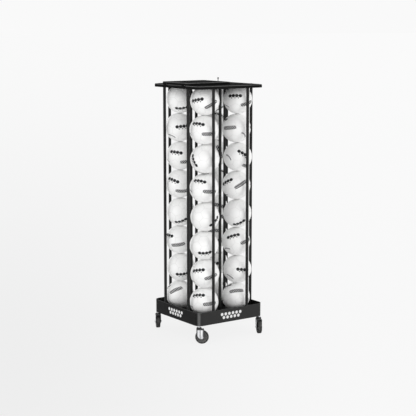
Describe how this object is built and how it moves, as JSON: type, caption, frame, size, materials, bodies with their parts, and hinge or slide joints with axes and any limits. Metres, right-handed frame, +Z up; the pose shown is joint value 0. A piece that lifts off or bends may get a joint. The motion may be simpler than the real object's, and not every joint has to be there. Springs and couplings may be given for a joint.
{
  "type": "ball cart",
  "caption": "Upright mobile ball cart: square tray on swivel casters, slim posts that guide stacked balls, and a top tray with round mouths held shut by a hinged lid with a lock eye.",
  "frame": {"origin": "on the floor, under the middle of the cart", "axes": "+Z up; -Y is the front side, where the lid's hinges are; +X to the right of someone who faces that side"},
  "size_m": [0.6998, 0.6232, 1.9675],
  "materials": {
    "black_coat": "satin black powder coat on sheet steel",
    "tube_coat": "satin dark grey powder coat on steel tube",
    "ball": "white coated panels, semi-matt",
    "zinc": "bright zinc plate",
    "black_plastic": "moulded, black",
    "wheel_core": "moulded, dark grey",
    "tread": "matt, near black"
  },
  "bodies": {
    "cart": {"tray": "black_coat", "top_tray": "black_coat", "post_front_left": "tube_coat", "post_front_right": "tube_coat", "post_right_front": "tube_coat", "post_right_rear": "tube_coat", "post_rear_right": "tube_coat", "post_rear_left": "tube_coat", "post_left_rear": "tube_coat", "post_left_front": "tube_coat", "post_inner_front": "tube_coat", "post_inner_right": "tube_coat", "post_inner_rear": "tube_coat", "post_inner_left": "tube_coat", "ball_column_front_left": "ball", "ball_column_front_right": "ball", "ball_column_rear_right": "ball", "ball_column_rear_left": "ball", "lock_eye": "black_coat", "hinge_tray_leaf_left": "black_coat", "hinge_tray_leaf_right": "black_coat", "hinge_pin_left": "zinc", "hinge_pin_right": "zinc", "caster_socket_front_left": "black_coat", "caster_socket_front_right": "black_coat", "caster_socket_rear_right": "black_coat", "caster_socket_rear_left": "black_coat", "caster_stem_front_left": "zinc", "caster_stem_front_right": "zinc", "caster_stem_rear_right": "zinc", "caster_stem_rear_left": "zinc", "caster_hood_front_left": "black_plastic", "caster_hood_front_right": "black_plastic", "caster_hood_rear_right": "black_plastic", "caster_hood_rear_left": "black_plastic"},
    "lid": {"lid": "black_coat", "hinge_lid_leaf_left": "black_coat", "hinge_lid_leaf_right": "black_coat"},
    "swivel_front_left": {"caster_fork_front_left": "zinc", "caster_axle_front_left": "zinc"},
    "swivel_front_right": {"caster_fork_front_right": "zinc", "caster_axle_front_right": "zinc"},
    "swivel_rear_right": {"caster_fork_rear_right": "zinc", "caster_axle_rear_right": "zinc"},
    "swivel_rear_left": {"caster_fork_rear_left": "zinc", "caster_axle_rear_left": "zinc"},
    "wheel_front_left": {"wheel_core_front_left": "wheel_core", "wheel_tread_front_left": "tread"},
    "wheel_front_right": {"wheel_core_front_right": "wheel_core", "wheel_tread_front_right": "tread"},
    "wheel_rear_right": {"wheel_core_rear_right": "wheel_core", "wheel_tread_rear_right": "tread"},
    "wheel_rear_left": {"wheel_core_rear_left": "wheel_core", "wheel_tread_rear_left": "tread"}
  },
  "joints": [
    {"name": "lid_hinge", "type": "hinge", "parent": "cart", "child": "lid", "pos_m": [0, -0.3089, 1.91915], "axis": [1, 0, 0], "range_deg": [0, 180]},
    {"name": "front_left_swivel", "type": "hinge", "parent": "cart", "child": "swivel_front_left", "pos_m": [-0.281, -0.281, 0.11], "axis": [0, 0, 1], "continuous": true},
    {"name": "front_right_swivel", "type": "hinge", "parent": "cart", "child": "swivel_front_right", "pos_m": [0.281, -0.281, 0.11], "axis": [0, 0, 1], "continuous": true},
    {"name": "rear_right_swivel", "type": "hinge", "parent": "cart", "child": "swivel_rear_right", "pos_m": [0.281, 0.281, 0.11], "axis": [0, 0, 1], "continuous": true},
    {"name": "rear_left_swivel", "type": "hinge", "parent": "cart", "child": "swivel_rear_left", "pos_m": [-0.281, 0.281, 0.11], "axis": [0, 0, 1], "continuous": true},
    {"name": "front_left_wheel", "type": "hinge", "parent": "swivel_front_left", "child": "wheel_front_left", "pos_m": [-0.30042, -0.27067, 0.051], "axis": [-0.4695, -0.8829, 0], "continuous": true},
    {"name": "front_right_wheel", "type": "hinge", "parent": "swivel_front_right", "child": "wheel_front_right", "pos_m": [0.29371, -0.26304, 0.051], "axis": [-0.8161, 0.5779, 0], "continuous": true},
    {"name": "rear_right_wheel", "type": "hinge", "parent": "swivel_rear_right", "child": "wheel_rear_right", "pos_m": [0.3006, 0.27101, 0.051], "axis": [0.454, 0.891, 0], "continuous": true},
    {"name": "rear_left_wheel", "type": "hinge", "parent": "swivel_rear_left", "child": "wheel_rear_left", "pos_m": [-0.29371, 0.26304, 0.051], "axis": [0.8161, -0.5779, 0], "continuous": true}
  ]
}
